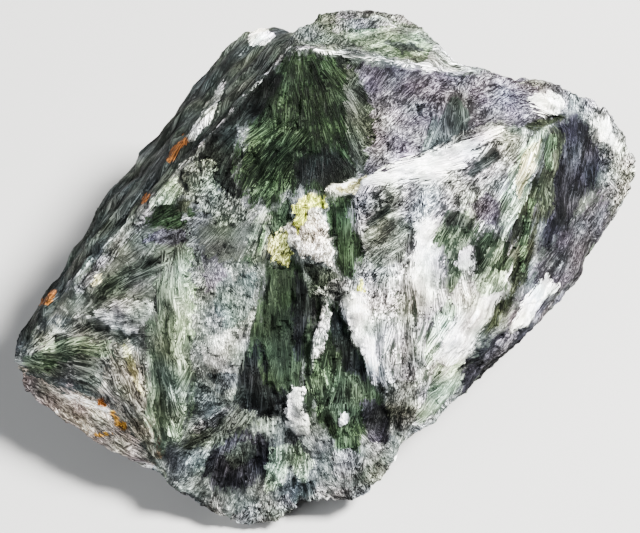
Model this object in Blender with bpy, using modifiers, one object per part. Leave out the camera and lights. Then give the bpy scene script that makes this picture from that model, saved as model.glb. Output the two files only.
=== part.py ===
"""A rough lump of seraphinite, one piece of stone with no holder.

The lump is a wedge. It lies on a small flat spot, and its broad feathered face leans back
from the front. It was knocked off a bigger block, so it is made the same way here: a few
rough blocks with flat fracture faces are grown together, their edges are worn, and then
ledges, splintery layers and lumps are worked into the surface.
"""

import math

import bmesh
import bpy
import numpy as np
from mathutils import Matrix, Vector, noise

MM = 0.001

# The broad face leans back by this much from lying level.
FACE_LEAN = math.radians(35)
# How far the middle of the broad face is above the flat spot, in millimetres.
FACE_MIDDLE_HEIGHT = 22.0

# Grain of the working mesh in millimetres, and the number of triangles of the stone.
WORKING_GRAIN = 0.5
FINISHED_TRIANGLES = 9300

STONE_COLOUR = (0.29, 0.31, 0.28, 1.0)
STONE_ROUGHNESS = 0.5
MARKER_SIZE = 0.01  # metres
SAME_POINT = 1e-6  # millimetres

# Two kinds of corners, both in millimetres. Face corners are measured on the broad face:
# across to the right, up the face, and out of the face. Standing corners are measured on
# the lump as it lies: across to the right, back, and height above the flat spot.
MAIN_FACE_CORNERS = {
    "left point": [(-32.3, -9.4, -6.0), (-31.3, -12.9, -8.0)],
    "ridge between the broad face and the layered side": [
        (-27.7, -3.6, -4.5), (-23.8, 0.2, -2.0), (-18.1, 6.2, -0.5),
        (-14.0, 9.9, 0.0), (-10.5, 13.6, 0.2), (-2.8, 21.9, -0.5),
    ],
    "far edge of the layered side": [
        (-8.2, 26.5, -17.0), (-13.2, 20.8, -15.0), (-18.2, 13.4, -13.0),
        (-23.2, 7.3, -11.0), (-26.6, 2.1, -9.0), (-29.8, -2.9, -8.0),
        (-31.9, -6.9, -7.0),
    ],
    "spur behind the ridge": [(-6.3, 26.4, -16.0), (-4.8, 24.4, -12.0)],
    "top ridge": [(2.5, 21.7, -0.6), (8.1, 20.8, -1.2), (14.4, 19.6, -3.0)],
    "high places of the broad face": [
        (1.5, 7.5, 2.5), (-2.0, -6.3, 2.0), (-16.9, -6.3, 0.8),
        (19.9, 12.6, 1.0), (13.0, -6.3, 0.2), (-9.0, -17.6, -1.4), (4.0, -15.4, -1.2),
    ],
    "right shoulder": [
        (19.4, 19.6, -4.0), (24.6, 18.5, -4.5), (28.4, 16.9, -6.0), (31.6, 14.1, -7.0),
        (33.1, 11.4, -8.5), (33.2, 9.6, -9.0), (31.3, 6.1, -8.5),
    ],
    "lower right edge": [
        (25.8, -1.6, -6.0), (21.8, -6.0, -5.0), (16.6, -10.5, -5.0),
        (10.8, -16.7, -5.0), (8.6, -17.7, -5.0),
    ],
    "lower left edge": [
        (-17.2, -20.4, -4.5), (-22.4, -18.3, -6.0), (-27.0, -15.7, -8.0),
    ],
}
MAIN_STANDING_CORNERS = {
    "sides": [
        (-28.0, -3.0, 7.0), (-28.0, 4.0, 8.0), (-24.5, 13.0, 8.0), (-16.0, 26.0, 8.0),
        (-4.0, 31.0, 13.0), (9.0, 30.0, 12.0), (20.0, 25.0, 14.0), (25.0, 22.0, 9.0),
        (30.0, 16.0, 10.0),
        (27.0, 9.5, 5.0), (-24.0, -7.0, 4.0),
    ],
    "underside": [
        (-19.0, -9.0, -1.0), (-22.0, 2.0, -1.0), (-17.0, 14.0, -1.0), (-8.0, 23.0, -1.0),
        (6.0, 24.0, -1.0), (20.0, 18.0, -1.0), (22.0, 9.0, -1.0), (14.0, 0.0, -1.0),
        (6.0, -8.0, -1.0), (-4.0, -14.0, -1.0), (-12.0, -14.0, -1.0),
    ],
}
HUMP_FACE_CORNERS = {
    "rim of the hump": [
        (-3.2, 24.3, -5.0), (0.0, 27.0, -8.0), (2.6, 27.4, -8.5),
        (6.3, 27.1, -8.5), (9.3, 26.1, -8.0), (11.9, 23.6, -7.0),
        (15.0, 20.0, -4.5),
    ],
    "front of the hump": [
        (-2.6, 22.0, -1.5), (2.5, 21.4, -1.0), (8.1, 20.6, -1.6), (13.4, 18.6, -3.0),
    ],
}
HUMP_STANDING_CORNERS = {
    "rib down the back": [
        (-3.0, 31.0, 16.0), (3.0, 31.5, 15.0), (9.0, 29.5, 14.0), (4.0, 27.0, 4.0),
        (-2.0, 20.0, 6.0), (14.0, 18.0, 8.0), (16.0, 24.0, 16.0),
    ],
}
LOBE_FACE_CORNERS = {
    "rim of the lobe": [
        (-16.4, -21.6, -4.5), (-14.4, -23.4, -5.0), (-11.0, -25.5, -6.0),
        (-7.4, -27.1, -7.0), (-4.6, -26.6, -6.5), (-2.0, -24.2, -5.0),
    ],
    "front of the lobe": [(-15.0, -18.0, -3.0), (-9.0, -17.6, -1.6), (-3.0, -18.0, -1.8)],
}
LOBE_STANDING_CORNERS = {
    "foot of the lobe": [
        (-14.0, -12.0, -1.0), (-8.0, -15.5, -1.0), (-2.0, -13.0, -1.0), (-8.0, -4.0, 4.0),
    ],
}
SECOND_LOBE_FACE_CORNERS = {
    "rim of the second lobe": [
        (-2.8, -24.1, -5.5), (2.7, -24.4, -5.5), (4.6, -23.5, -5.5),
        (6.4, -21.7, -5.2), (7.6, -19.7, -5.0), (8.4, -17.7, -4.5),
    ],
    "front of the second lobe": [(-3.0, -17.0, -1.8), (4.0, -15.4, -1.6), (7.5, -13.0, -2.0)],
}
SECOND_LOBE_STANDING_CORNERS = {
    "foot of the second lobe": [
        (-2.0, -13.0, -1.0), (3.0, -13.5, -1.0), (7.0, -7.0, -1.0), (1.0, -3.0, 4.0),
    ],
}

# Ledges of the broad face. Each line runs over the face in face millimetres, and the side
# on the left of its direction stands up by rise, over a slope this wide, and sinks back
# to the face over reach.
LEDGES = {
    "under the bright vein": dict(
        line=[(21.0, 14.2), (14.5, 11.0), (8.0, 8.6), (1.2, 6.8)],
        rise=1.0, slope=1.8, reach=7.0,
    ),
    "edge of the white slab": dict(
        line=[(8.0, -15.5), (6.6, -12.0), (4.6, -9.4), (3.2, -6.2), (2.4, -3.0)],
        rise=-0.8, slope=1.1, reach=5.0,
    ),
    "grey slab beside the green plume": dict(
        line=[(-5.8, 0.6), (-6.4, -5.2), (-8.0, -12.0), (-8.4, -15.0)],
        rise=-0.6, slope=1.0, reach=5.0,
    ),
    "crumbling boss in the middle": dict(
        line=[(-3.2, 6.4), (-2.2, 2.6), (-0.2, -1.6), (2.6, -3.2)],
        rise=0.7, slope=1.6, reach=4.0,
    ),
    "fold above the left corner": dict(
        line=[(-27.0, -6.4), (-21.0, -4.4), (-15.2, -3.6)],
        rise=0.7, slope=1.0, reach=4.0,
    ),
    "brow of the lower left facet": dict(
        line=[(-15.6, -19.2), (-20.0, -14.0), (-24.5, -11.8), (-30.0, -10.6)],
        rise=-0.9, slope=1.4, reach=5.0,
    ),
    "lip above the lobes": dict(
        line=[(7.0, -14.6), (0.0, -16.4), (-5.0, -15.0), (-11.0, -17.8)],
        rise=-0.45, slope=1.6, reach=3.5,
    ),
    "ledge inside the right shoulder": dict(
        line=[(20.6, 5.4), (20.2, 0.6), (18.4, -4.4), (15.8, -8.2)],
        rise=0.8, slope=1.0, reach=5.0,
    ),
}
# Grooves and ribs of the broad face: a negative rise is a groove.
RIBS = {
    "green groove right of the boss": dict(
        line=[(3.2, 6.4), (3.8, 2.0), (4.8, -2.4)], rise=-0.8, width=1.3,
    ),
    "white sliver": dict(
        line=[(0.7, -3.6), (-0.2, -7.0), (-0.8, -10.2)], rise=0.6, width=0.6,
    ),
    "white chips": dict(
        line=[(-0.4, -11.8), (-1.8, -14.4), (-1.6, -17.6)], rise=0.7, width=1.0,
    ),
    "upright fan rib": dict(
        line=[(-14.2, 0.2), (-14.4, -8.0), (-15.2, -17.5)], rise=0.45, width=1.0,
    ),
    "groove beside the fan rib": dict(
        line=[(-16.4, -3.0), (-16.4, -10.0), (-16.0, -17.0)], rise=-0.3, width=0.9,
    ),
    "first fold of the left corner": dict(
        line=[(-30.0, -9.2), (-24.0, -8.4), (-19.6, -8.8)], rise=0.5, width=0.7,
    ),
    "second fold of the left corner": dict(
        line=[(-16.2, -19.0), (-18.6, -13.4), (-21.4, -9.6)], rise=0.5, width=0.7,
    ),
    "knob on the right shoulder": dict(
        line=[(21.6, 16.6), (23.6, 16.2)], rise=0.8, width=1.2,
    ),
    "pit under the knob": dict(
        line=[(21.2, 14.2), (24.4, 15.0)], rise=-0.6, width=0.8,
    ),
    "plume pit": dict(
        line=[(13.6, 5.4), (12.6, 1.6), (12.4, -2.0)], rise=-0.5, width=0.9,
    ),
    "crease of the green hollow": dict(
        line=[(-6.5, 17.0), (-8.2, 12.0), (-5.0, 8.0)], rise=-0.5, width=1.6,
    ),
}
# Ledges and ribs wander this far from their lines, in bends of this size, in millimetres.
EDGE_WANDER, EDGE_BEND = 0.7, 3.0
# How fast a ledge dies away past the ends of its line, in millimetres.
LEDGE_END_FADE = 1.5
# A surface that faces this much out of the broad face starts to have its ledges and ribs,
# and one that faces out by the second value has them at full height.
FACE_STARTS, FACE_IS_FULL = 0.35, 0.7

# The layered side is split along layers that run up the ridge.
LAYER_RUN = Vector((0.667, 0.745, 0.0))
LAYER_SIDE = Vector((-0.72, 0.62, 0.30)).normalized()
LAYER_THICKNESS, LAYER_RISE = 2.3, 0.55
LAYER_WAVE_SIZE, LAYER_WAVE_RISE = 14.0, 0.9
LAYER_STARTS, LAYER_IS_FULL = 0.45, 0.75

# Lumps, broken terraces, splinters and crumbs cover the whole lump, in millimetres.
LUMP_SIZE, LUMP_RISE = 9.0, 0.45
TERRACE_SIZE, TERRACE_RISE, TERRACES_DEEP = 11.0, 0.8, 2.2
TERRACE_RAGGED_SIZE, TERRACE_RAGGED = 3.0, 0.35
SPLINTER_LENGTH, SPLINTER_WIDTH, SPLINTER_RISE = 9.0, 1.8, 0.35
CRUMB_SIZE, CRUMB_RISE = 1.6, 0.18
# The broad face split more cleanly than the rest, so it has less of the terraces.
CLEAN_SPLIT = 0.45
# A step's riser takes this much of its tread, and the mean height of the steps is this.
RISER_SHARE, STEP_MEAN = 0.24, 0.42


def face_to_standing():
    """The lean and lift that carry face millimetres to standing millimetres."""
    lift = Matrix.Translation((0.0, 0.0, FACE_MIDDLE_HEIGHT))
    return lift @ Matrix.Rotation(FACE_LEAN, 4, "X")


def rough_block(name, face_corners, standing_corners, collection):
    """A block with flat fracture faces stretched over its corners, in face millimetres."""
    standing_to_face = face_to_standing().inverted()
    shape = bmesh.new()
    for corners in face_corners.values():
        for corner in corners:
            shape.verts.new(corner)
    for corners in standing_corners.values():
        for corner in corners:
            shape.verts.new(standing_to_face @ Vector(corner))
    bmesh.ops.convex_hull(shape, input=shape.verts)
    loose = [v for v in shape.verts if not v.link_faces]
    bmesh.ops.delete(shape, geom=loose, context="VERTS")
    bmesh.ops.recalc_face_normals(shape, faces=shape.faces)
    mesh = bpy.data.meshes.new(name)
    shape.to_mesh(mesh)
    shape.free()
    block = bpy.data.objects.new(name, mesh)
    collection.objects.link(block)
    return block


def work_in_modifiers(obj):
    """Makes the modified mesh the object's own mesh."""
    bpy.context.view_layer.update()
    graph = bpy.context.evaluated_depsgraph_get()
    mesh = bpy.data.meshes.new_from_object(obj.evaluated_get(graph))
    obj.modifiers.clear()
    obj.data = mesh


def grow_together(stone, others):
    """Joins the other blocks to the stone, and hides them."""
    for other in others:
        join = stone.modifiers.new("join " + other.name, "BOOLEAN")
        join.operation = "UNION"
        join.object = other
        other.hide_render = True
        other.display_type = "WIRE"
    work_in_modifiers(stone)


def wear_edges(stone):
    """Gives the stone an even working mesh with softly worn edges."""
    grain = stone.modifiers.new("grain", "REMESH")
    grain.mode = "VOXEL"
    grain.voxel_size = WORKING_GRAIN
    worn = stone.modifiers.new("worn edges", "SMOOTH")
    worn.factor = 0.5
    worn.iterations = 3
    work_in_modifiers(stone)


def soft_step(x):
    """0 below 0, 1 above 1, and smooth between."""
    t = np.clip(x, 0.0, 1.0)
    return t * t * (3.0 - 2.0 * t)


def noise_at(places, size, seed=0.0):
    """Smooth noise from about -1 to 1, with features of this size."""
    shift = Vector((seed, 2.3 * seed, 5.1 * seed))
    return np.array([noise.noise(Vector(p) / size + shift) for p in places])


def stairs(field):
    """Steps cut from a smooth field: what they add to it, with flat treads and short risers."""
    tread = np.floor(field)
    return tread + soft_step((field - tread) / RISER_SHARE) - field - STEP_MEAN


def share_facing(facing, starts, full):
    """0 where a surface faces away from a side, 1 where it belongs to it."""
    return soft_step((facing - starts) / (full - starts))


def from_line(flat_places, line):
    """Distance from a line over the face, positive on its left, and how far past its ends."""
    nearest = np.full(len(flat_places), 1e9)
    side = np.ones(len(flat_places))
    past = np.zeros(len(flat_places))
    last = len(line) - 2
    for i, (start, end) in enumerate(zip(line, line[1:])):
        start, run = np.array(start), np.array(end) - np.array(start)
        length = np.linalg.norm(run)
        offset = flat_places - start
        along = offset @ run / length
        clipped = np.clip(along, 0.0, length)
        gap = np.linalg.norm(offset - np.outer(clipped, run / length), axis=1)
        cross = run[0] * offset[:, 1] - run[1] * offset[:, 0]
        over = np.zeros(len(flat_places))
        if i == 0:
            over = np.maximum(over, -along)
        if i == last:
            over = np.maximum(over, along - length)
        closer = gap < nearest
        nearest = np.where(closer, gap, nearest)
        side = np.where(closer, np.sign(cross), side)
        past = np.where(closer, over, past)
    return nearest * side, past


def face_relief(places, normals):
    """Height of the ledges and ribs of the broad face."""
    wander = np.stack([noise_at(places, EDGE_BEND, seed) for seed in (1.0, 2.0)], axis=1)
    flat_places = places[:, :2] + EDGE_WANDER * wander
    height = np.zeros(len(places))
    for ledge in LEDGES.values():
        side, past = from_line(flat_places, ledge["line"])
        step = soft_step(side / ledge["slope"] + 0.5)
        sinks_back = np.exp(-np.maximum(side, 0.0) / ledge["reach"])
        dies_away = np.exp(-((past / LEDGE_END_FADE) ** 2))
        height += ledge["rise"] * step * sinks_back * dies_away
    for rib in RIBS.values():
        side, past = from_line(flat_places, rib["line"])
        height += rib["rise"] * np.exp(-((side / rib["width"]) ** 2))
    return height * share_facing(normals[:, 2], FACE_STARTS, FACE_IS_FULL)


def layer_relief(places, normals):
    """Height of the split layers of the layered side."""
    across = np.array(LAYER_SIDE.cross(LAYER_RUN).normalized())
    depth = places @ across + LAYER_WAVE_RISE * noise_at(places, LAYER_WAVE_SIZE, 3.0)
    layer = depth / LAYER_THICKNESS
    numbers = np.round(layer + 0.5 - RISER_SHARE)
    uneven = np.array([noise.cell(Vector((number, 7.0, 3.0))) for number in numbers]) - 0.5
    shelves = LAYER_RISE * (stairs(layer) + uneven)
    toward = normals @ np.array(LAYER_SIDE)
    return shelves * share_facing(toward, LAYER_STARTS, LAYER_IS_FULL)


def covering_relief(places, normals):
    """Lumps, terraces, splinters and crumbs all over, stronger on the sides and the back."""
    lumps = LUMP_RISE * noise_at(places, LUMP_SIZE, 4.0)
    field = TERRACES_DEEP * noise_at(places, TERRACE_SIZE, 5.0)
    field += TERRACE_RAGGED * noise_at(places, TERRACE_RAGGED_SIZE, 6.0)
    run = np.array(LAYER_RUN)
    shortened = np.outer(places @ run, run) * (1.0 - SPLINTER_WIDTH / SPLINTER_LENGTH)
    splinters = SPLINTER_RISE * noise_at(places - shortened, SPLINTER_WIDTH, 7.0)
    crumbs = CRUMB_RISE * noise_at(places, CRUMB_SIZE, 8.0)
    rough = 1.0 - CLEAN_SPLIT * share_facing(normals[:, 2], FACE_STARTS, FACE_IS_FULL)
    return lumps + (TERRACE_RISE * stairs(field) + splinters) * rough + crumbs


def work_the_surface(stone):
    """Moves each point of the working mesh in or out along its normal."""
    mesh = stone.data
    places = np.empty(len(mesh.vertices) * 3, np.float32)
    normals = np.empty(len(mesh.vertices) * 3, np.float32)
    mesh.vertices.foreach_get("co", places)
    mesh.vertex_normals.foreach_get("vector", normals)
    places = places.reshape(-1, 3).astype(float)
    normals = normals.reshape(-1, 3).astype(float)
    height = face_relief(places, normals)
    height += layer_relief(places, normals)
    height += covering_relief(places, normals)
    places += normals * height[:, None]
    mesh.vertices.foreach_set("co", places.astype(np.float32).ravel())
    mesh.update()


def thin_out(stone):
    """Keeps large triangles where the stone is flat and small ones at its edges."""
    thin = stone.modifiers.new("thin out", "DECIMATE")
    triangles = sum(len(face.vertices) - 2 for face in stone.data.polygons)
    thin.ratio = FINISHED_TRIANGLES / triangles
    work_in_modifiers(stone)


def cut_flat_spot(stone):
    """Cuts the underside off level, so that the lump lies on a flat spot at height zero."""
    shape = bmesh.new()
    shape.from_mesh(stone.data)
    everything = shape.verts[:] + shape.edges[:] + shape.faces[:]
    cut = bmesh.ops.bisect_plane(
        shape, geom=everything, dist=SAME_POINT, plane_co=(0, 0, 0), plane_no=(0, 0, -1),
        clear_outer=True,
    )
    rim = [e for e in cut["geom_cut"] if isinstance(e, bmesh.types.BMEdge)]
    bmesh.ops.holes_fill(shape, edges=rim)
    bmesh.ops.triangulate(shape, faces=shape.faces)
    bmesh.ops.recalc_face_normals(shape, faces=shape.faces)
    shape.to_mesh(stone.data)
    shape.free()


def centre_over_origin(stone, broad_face):
    """Puts the middle of the lump's box over the origin, and its marker along with it."""
    places = np.array([v.co for v in stone.data.vertices])
    middle = (places.min(axis=0) + places.max(axis=0)) / 2.0
    stone.data.transform(Matrix.Translation((-middle[0], -middle[1], 0.0)))
    broad_face.location.xy = (-middle[0], -middle[1])


def mark_broad_face(collection):
    """An empty at the middle of the broad face that leans as the face does."""
    marker = bpy.data.objects.new("broad face", None)
    marker.location.z = FACE_MIDDLE_HEIGHT * MM
    marker.rotation_euler.x = FACE_LEAN
    marker.empty_display_size = MARKER_SIZE
    collection.objects.link(marker)
    return marker


def stone_material():
    """Grey green with a silky, slightly pearly sheen."""
    material = bpy.data.materials.new("seraphinite")
    material.use_nodes = True
    surface = material.node_tree.nodes["Principled BSDF"]
    surface.inputs["Base Color"].default_value = STONE_COLOUR
    surface.inputs["Roughness"].default_value = STONE_ROUGHNESS
    surface.inputs["Metallic"].default_value = 0.0
    return material


def clear_scene():
    for obj in list(bpy.data.objects):
        bpy.data.objects.remove(obj)


def build():
    clear_scene()
    parts = bpy.data.collections.new("seraphinite")
    blocks = bpy.data.collections.new("rough blocks")
    for collection in (parts, blocks):
        bpy.context.scene.collection.children.link(collection)
    stone = rough_block("stone", MAIN_FACE_CORNERS, MAIN_STANDING_CORNERS, parts)
    hump = rough_block("hump", HUMP_FACE_CORNERS, HUMP_STANDING_CORNERS, blocks)
    lobe = rough_block("lobe", LOBE_FACE_CORNERS, LOBE_STANDING_CORNERS, blocks)
    second = rough_block("second lobe", SECOND_LOBE_FACE_CORNERS, SECOND_LOBE_STANDING_CORNERS, blocks)
    grow_together(stone, [hump, lobe, second])
    wear_edges(stone)
    work_the_surface(stone)
    thin_out(stone)
    stone.data.transform(face_to_standing())
    cut_flat_spot(stone)
    stone.data.transform(Matrix.Scale(MM, 4))
    centre_over_origin(stone, mark_broad_face(parts))
    stone.data.materials.clear()
    stone.data.materials.append(stone_material())


build()
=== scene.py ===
import math

import bpy
import numpy as np
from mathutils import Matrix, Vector, noise
from mathutils.kdtree import KDTree


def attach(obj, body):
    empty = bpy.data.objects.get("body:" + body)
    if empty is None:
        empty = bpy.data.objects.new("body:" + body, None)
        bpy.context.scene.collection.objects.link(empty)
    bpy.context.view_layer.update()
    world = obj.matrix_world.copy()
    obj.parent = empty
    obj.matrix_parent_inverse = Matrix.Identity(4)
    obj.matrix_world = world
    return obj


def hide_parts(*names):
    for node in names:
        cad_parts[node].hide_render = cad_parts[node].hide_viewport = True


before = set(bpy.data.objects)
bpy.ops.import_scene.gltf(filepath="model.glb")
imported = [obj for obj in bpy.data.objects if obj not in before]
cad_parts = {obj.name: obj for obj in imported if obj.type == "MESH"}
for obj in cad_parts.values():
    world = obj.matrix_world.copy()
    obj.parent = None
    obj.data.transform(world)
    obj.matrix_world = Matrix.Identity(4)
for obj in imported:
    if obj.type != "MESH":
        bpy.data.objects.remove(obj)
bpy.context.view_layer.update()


# The lump
# One natural piece of stone, knocked off a bigger block. Its body comes from the solid, and is
# worn a little, so that the solid's flat triangles turn back into broken stone.

MM = 0.001
SAME_POINT = 1e-7
GRAIN = 0.255 * MM
WEAR, WORN_PASSES = 0.5, 5
MOST_TRIANGLES = 196000

# The broad face leans back. It keeps finer triangles than all that faces away from its front.
FACE_LEAN = math.radians(35)
FACE_THINNING, REST_THINNING = 0.25, 1.0
FACING_AWAY = 0.1


def apply_modifier(kind, **settings):
    modifier = lump.modifiers.new(kind.lower(), kind)
    for name, value in settings.items():
        setattr(modifier, name, value)
    bpy.ops.object.modifier_apply(modifier=modifier.name)


def places_and_normals():
    """The lump's points in millimetres, and which way each one faces."""
    count = len(lump.data.vertices)
    places = np.empty(count * 3, np.float32)
    normals = np.empty(count * 3, np.float32)
    lump.data.vertices.foreach_get("co", places)
    lump.data.vertex_normals.foreach_get("vector", normals)
    return places.reshape(-1, 3).astype(float) / MM, normals.reshape(-1, 3).astype(float)


def lean_back(vectors):
    """Turns directions of the lump into across, up and out of the broad face."""
    x, y, z = vectors.T
    up = y * math.cos(FACE_LEAN) + z * math.sin(FACE_LEAN)
    out = z * math.cos(FACE_LEAN) - y * math.sin(FACE_LEAN)
    return np.stack([x, up, out], axis=1)


bpy.ops.object.select_all(action="DESELECT")
lump = bpy.data.objects.new("feathered_lump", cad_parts["stone"].data.copy())
bpy.context.scene.collection.objects.link(lump)
lump.select_set(True)
bpy.context.view_layer.objects.active = lump
bpy.ops.object.mode_set(mode="EDIT")
bpy.ops.mesh.select_all(action="SELECT")
bpy.ops.mesh.remove_doubles(threshold=SAME_POINT)
bpy.ops.object.mode_set(mode="OBJECT")
apply_modifier("REMESH", mode="VOXEL", voxel_size=GRAIN)
apply_modifier("SMOOTH", factor=WEAR, iterations=WORN_PASSES)

_, normals = places_and_normals()
thinned = lump.vertex_groups.new(name="thinned")
thinned.add(list(range(len(normals))), FACE_THINNING, "REPLACE")
facing_away = np.nonzero(lean_back(normals)[:, 2] < FACING_AWAY)[0]
thinned.add(facing_away.tolist(), REST_THINNING, "REPLACE")
triangles = sum(len(face.vertices) - 2 for face in lump.data.polygons)
kept_share = MOST_TRIANGLES / triangles
apply_modifier("DECIMATE", ratio=kept_share, vertex_group="thinned", vertex_group_factor=1.0)


# The feathers
# Seraphinite grew as sprays of fine fibres, silver where they catch the light and deep green
# or lavender where they turn away, with crumbling flakes between them.

# The patches of the broad face are laid out flat, as seen from this far in front of its
# middle, in millimetres right of the layout's left edge and down from its top edge.
FACE_MIDDLE = np.array([-0.629, -6.752, 22.0])
VIEWING_DISTANCE = 178.0
LAYOUT_MIDDLE = np.array([32.0, 26.65])

# Colours where a fibre lies in the shade of its neighbours, and on its crest: painted shade in
# the valleys and painted sheen on the crests, over each tone's own colour.
TONES = {
    "night": ((0.0006, 0.0008, 0.0007), (0.0048, 0.0062, 0.0053)),
    "ink": ((0.0010, 0.0013, 0.0013), (0.0085, 0.0105, 0.0110)),
    "ink violet": ((0.0015, 0.0016, 0.0020), (0.024, 0.0245, 0.0305)),
    "deep green": ((0.0011, 0.0021, 0.0011), (0.0125, 0.0215, 0.0110)),
    "forest": ((0.0017, 0.0030, 0.0018), (0.025, 0.038, 0.024)),
    "satin green": ((0.0070, 0.0112, 0.0070), (0.0205, 0.0315, 0.0185)),
    "leaf": ((0.0026, 0.0048, 0.0026), (0.051, 0.079, 0.042)),
    "fern": ((0.0060, 0.0105, 0.0058), (0.105, 0.160, 0.090)),
    "sage": ((0.0070, 0.0115, 0.0074), (0.185, 0.245, 0.165)),
    "slate": ((0.0018, 0.0024, 0.0023), (0.030, 0.036, 0.034)),
    "ash green": ((0.0042, 0.0056, 0.0044), (0.130, 0.152, 0.122)),
    "dull green": ((0.0025, 0.0034, 0.0026), (0.050, 0.060, 0.048)),
    "pewter": ((0.0090, 0.0105, 0.0090), (0.270, 0.290, 0.250)),
    "tan": ((0.0150, 0.0145, 0.0110), (0.480, 0.465, 0.375)),
    "dull teal": ((0.0035, 0.0045, 0.0047), (0.058, 0.070, 0.072)),
    "teal": ((0.0062, 0.0082, 0.0082), (0.140, 0.172, 0.168)),
    "ash": ((0.0050, 0.0056, 0.0054), (0.270, 0.282, 0.276)),
    "dull lavender": ((0.0050, 0.0048, 0.0058), (0.125, 0.121, 0.140)),
    "lavender": ((0.0062, 0.0058, 0.0072), (0.205, 0.196, 0.235)),
    "violet": ((0.0036, 0.0033, 0.0044), (0.078, 0.073, 0.094)),
    "silver": ((0.0100, 0.0110, 0.0105), (0.800, 0.820, 0.805)),
    "pale sage": ((0.040, 0.056, 0.038), (0.340, 0.425, 0.315)),
    "mint": ((0.016, 0.024, 0.016), (0.600, 0.760, 0.560)),
    "white": ((0.400, 0.420, 0.402), (0.960, 0.965, 0.955)),
    "cream": ((0.070, 0.068, 0.032), (0.850, 0.830, 0.480)),
    "rose": ((0.030, 0.026, 0.024), (0.850, 0.740, 0.660)),
    "dull rose": ((0.0160, 0.0135, 0.0125), (0.400, 0.345, 0.315)),
    "dust": ((0.080, 0.084, 0.079), (0.600, 0.615, 0.580)),
    "pale frost": ((0.050, 0.055, 0.052), (0.360, 0.380, 0.370)),
    "frost": ((0.0170, 0.0200, 0.0192), (0.175, 0.196, 0.188)),
    "frost violet": ((0.0140, 0.0136, 0.0165), (0.118, 0.115, 0.137)),
    "frost teal": ((0.0110, 0.0145, 0.0145), (0.086, 0.108, 0.107)),
    "smoke": ((0.0175, 0.0200, 0.0168), (0.102, 0.113, 0.096)),
    "smoke green": ((0.0190, 0.0270, 0.0190), (0.122, 0.158, 0.112)),
    "silk": ((0.020, 0.025, 0.021), (0.950, 0.960, 0.945)),
    "milk": ((0.055, 0.050, 0.040), (0.900, 0.870, 0.780)),
    "lime": ((0.0420, 0.0540, 0.0070), (0.800, 0.860, 0.130)),
    "lemon": ((0.040, 0.046, 0.012), (0.800, 0.820, 0.300)),
    "olive": ((0.0020, 0.0026, 0.0017), (0.027, 0.032, 0.021)),
    "rust": ((0.018, 0.0065, 0.0020), (0.420, 0.150, 0.034)),
    "ochre": ((0.036, 0.018, 0.0030), (0.640, 0.340, 0.055)),
    # Painted shade: the layered side's own dark grey-green, painted darker as the side that faces away from
    # the light.
    "shaded layer": ((0.0028, 0.0036, 0.0032), (0.038, 0.045, 0.041)),
}

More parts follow.
